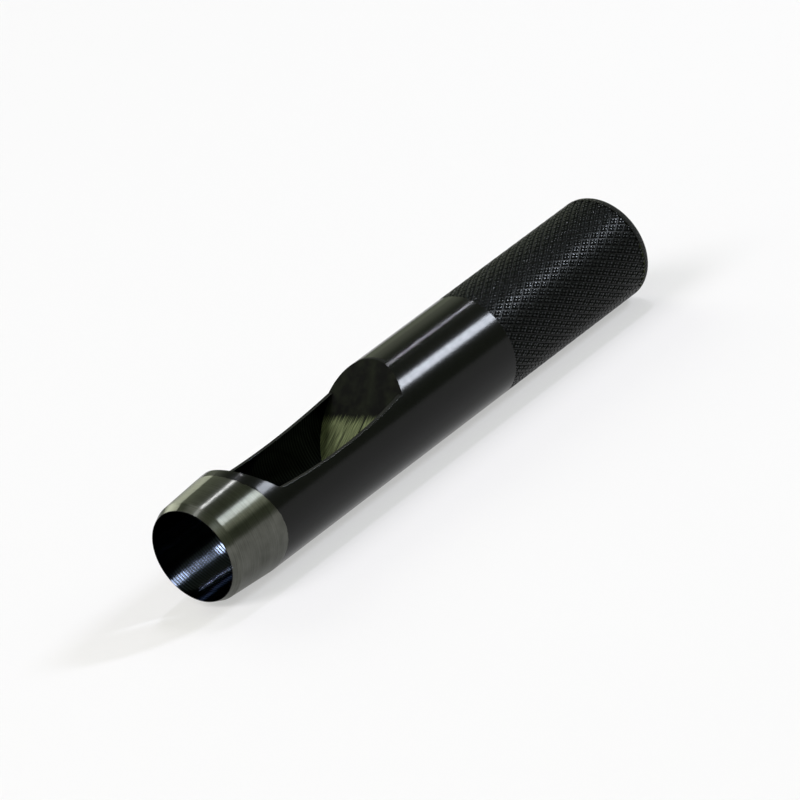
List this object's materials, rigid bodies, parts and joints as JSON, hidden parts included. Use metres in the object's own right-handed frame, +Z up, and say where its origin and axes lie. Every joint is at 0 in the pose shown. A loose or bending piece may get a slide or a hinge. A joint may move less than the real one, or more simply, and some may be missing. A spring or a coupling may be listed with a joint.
{
  "type": "hollow punch",
  "caption": "Hollow punch with a ground ring-shaped cutting edge, a bored barrel with a slug window on top, and a knurled grip that is struck on its flat end.",
  "frame": {"origin": "on the surface that the punch lies on, below the middle of its length", "axes": "+X along the bar's axis from the cutting edge to the striking face, +Z up through the slug window, +Y across"},
  "size_m": [0.125, 0.021, 0.021],
  "materials": {
    "ground_steel": "bare ground steel with fine grinding lines round it",
    "blackened_steel": "black oxide, satin",
    "knurled_steel": "black oxide on a diamond knurl, with worn crests"
  },
  "bodies": {
    "root": {"cutting_tip": "ground_steel", "windowed_barrel": "blackened_steel", "knurled_grip": "knurled_steel", "striking_end": "blackened_steel"}
  },
  "joints": []
}
